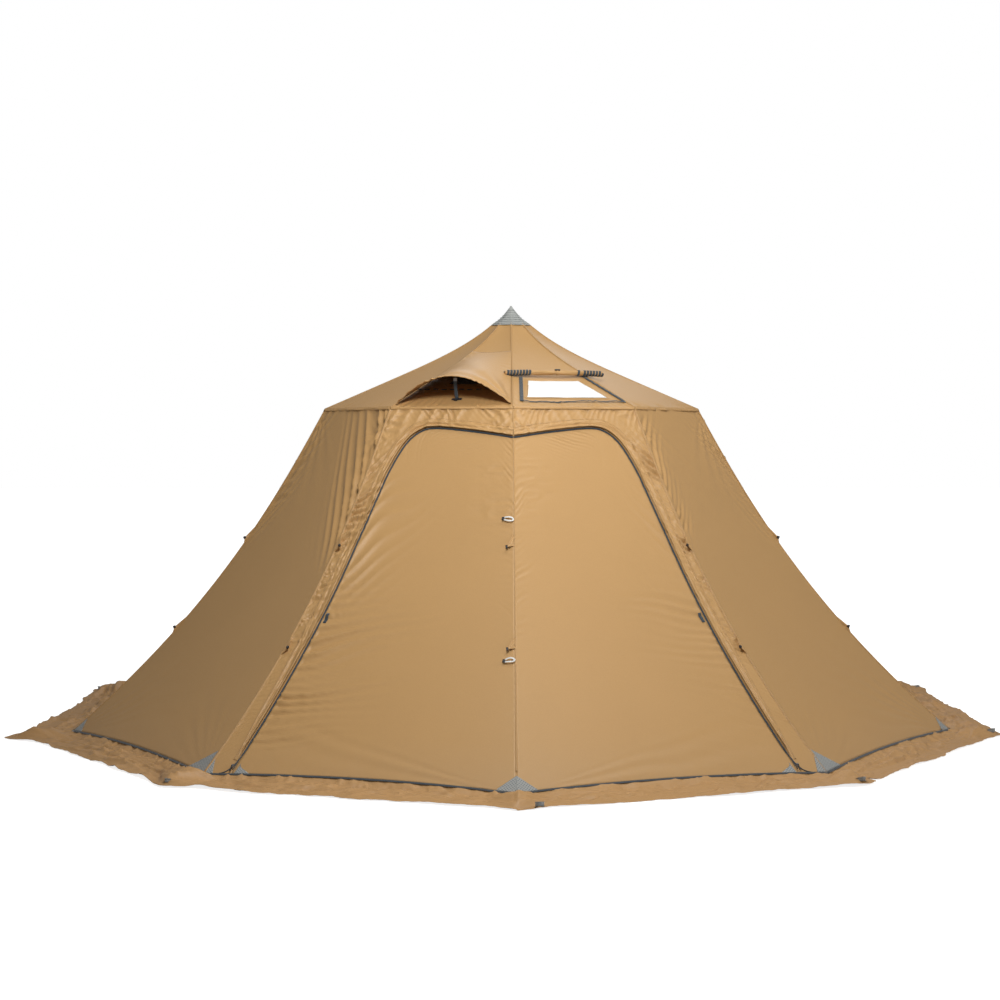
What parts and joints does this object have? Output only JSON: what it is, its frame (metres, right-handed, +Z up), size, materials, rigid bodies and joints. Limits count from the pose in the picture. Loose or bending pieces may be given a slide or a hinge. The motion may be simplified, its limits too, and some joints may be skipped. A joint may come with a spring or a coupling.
{
  "type": "bell tent",
  "caption": "Ten-sided bell tent with flared walls, a low concave roof, a two-leaf zipped front door, a propped roof vent, a stove jack panel and a snow skirt.",
  "frame": {"origin": "on the ground under the mast foot, at the centre of the ten-sided plan", "axes": "+Z up along the mast; -Y towards the door side, with the seam between the two door leaves in the plane X = 0; +X to the right when facing the door from outside"},
  "size_m": [6.258, 6.58, 2.82],
  "materials": {
    "tan_cloth": "coated plain-weave tent cloth, tan, slight sheen",
    "grey_ripstop": "grey ripstop reinforcement cloth",
    "dark_webbing": "dark blue-grey woven webbing and tape",
    "aluminium_tube": "anodised aluminium tube",
    "black_plastic": "moulded black nylon",
    "foot_rubber": "moulded rubber foot",
    "white_heat_cloth": "white coated heat-resistant cloth, smooth",
    "dark_netting": "fine dark insect netting"
  },
  "bodies": {
    "root": {"mast_foot": "foot_rubber", "mast_lower_tube": "aluminium_tube", "wall_panel_1": "tan_cloth", "wall_panel_2": "tan_cloth", "wall_panel_3": "tan_cloth", "wall_panel_4": "tan_cloth", "wall_panel_5": "tan_cloth", "wall_panel_6": "tan_cloth", "wall_panel_7": "tan_cloth", "wall_panel_8": "tan_cloth", "wall_front_right": "tan_cloth", "wall_front_left": "tan_cloth", "snow_skirt": "tan_cloth", "zip_slider_right": "dark_webbing", "zip_slider_left": "dark_webbing"},
    "mast_upper": {"mast_upper_tube": "aluminium_tube", "mast_clamp": "black_plastic", "mast_crown": "black_plastic", "eave_tube_0": "aluminium_tube", "eave_tube_1": "aluminium_tube", "eave_tube_2": "aluminium_tube", "eave_tube_3": "aluminium_tube", "eave_tube_4": "aluminium_tube", "eave_tube_5": "aluminium_tube", "eave_tube_6": "aluminium_tube", "eave_tube_7": "aluminium_tube", "eave_tube_8": "aluminium_tube", "eave_tube_9": "aluminium_tube", "eave_corner_0": "black_plastic", "eave_corner_1": "black_plastic", "eave_corner_2": "black_plastic", "eave_corner_3": "black_plastic", "eave_corner_4": "black_plastic", "eave_corner_5": "black_plastic", "eave_corner_6": "black_plastic", "eave_corner_7": "black_plastic", "eave_corner_8": "black_plastic", "eave_corner_9": "black_plastic", "roof_gore_0": "tan_cloth", "roof_gore_1": "tan_cloth", "roof_gore_2": "tan_cloth", "roof_gore_3": "tan_cloth", "roof_gore_4": "tan_cloth", "roof_gore_5": "tan_cloth", "roof_gore_6": "tan_cloth", "roof_gore_7": "tan_cloth", "roof_gore_8": "tan_cloth", "roof_gore_9": "tan_cloth", "stove_jack_panel": "white_heat_cloth", "vent_mesh": "dark_netting", "apex_cap": "grey_ripstop", "vent_hood": "tan_cloth", "vent_prop_pad": "dark_webbing", "stove_jack_cover": "tan_cloth"},
    "clamp_lever": {"clamp_lever": "black_plastic"},
    "door_right": {"door_leaf_right": "tan_cloth"},
    "door_left": {"door_leaf_left": "tan_cloth"},
    "vent_prop": {"vent_prop": "dark_webbing"},
    "zip_pull_right": {"zip_pull_right": "dark_webbing"},
    "zip_pull_left": {"zip_pull_left": "dark_webbing"}
  },
  "joints": [
    {"name": "mast_telescope", "type": "slide", "parent": "root", "child": "mast_upper", "axis": [0, 0, -1], "range_m": [0, 0.08]},
    {"name": "clamp_lever_open", "type": "hinge", "parent": "mast_upper", "child": "clamp_lever", "pos_m": [0.039, 0, 0.982], "axis": [0, -1, 0], "range_deg": [0, 110]},
    {"name": "door_right_open", "type": "hinge", "parent": "root", "child": "door_right", "pos_m": [0, -2.205, 0.961], "axis": [0, -0.6389, -0.7693], "range_deg": [0, 90]},
    {"name": "door_left_open", "type": "hinge", "parent": "root", "child": "door_left", "pos_m": [0, -2.205, 0.961], "axis": [0, 0.6389, 0.7693], "range_deg": [0, 90]},
    {"name": "vent_prop_fold", "type": "hinge", "parent": "mast_upper", "child": "vent_prop", "pos_m": [-0.352, -1.0834, 2.1545], "axis": [-0.9511, 0.309, 0], "range_deg": [0, 75]},
    {"name": "zip_pull_right_swing", "type": "hinge", "parent": "root", "child": "zip_pull_right", "pos_m": [1.5786, -2.4093, 0.0804], "axis": [-0.9511, -0.309, 0], "range_deg": [0, 120]},
    {"name": "zip_pull_left_swing", "type": "hinge", "parent": "root", "child": "zip_pull_left", "pos_m": [-1.5786, -2.4093, 0.0804], "axis": [-0.9511, 0.309, 0], "range_deg": [0, 120]}
  ]
}
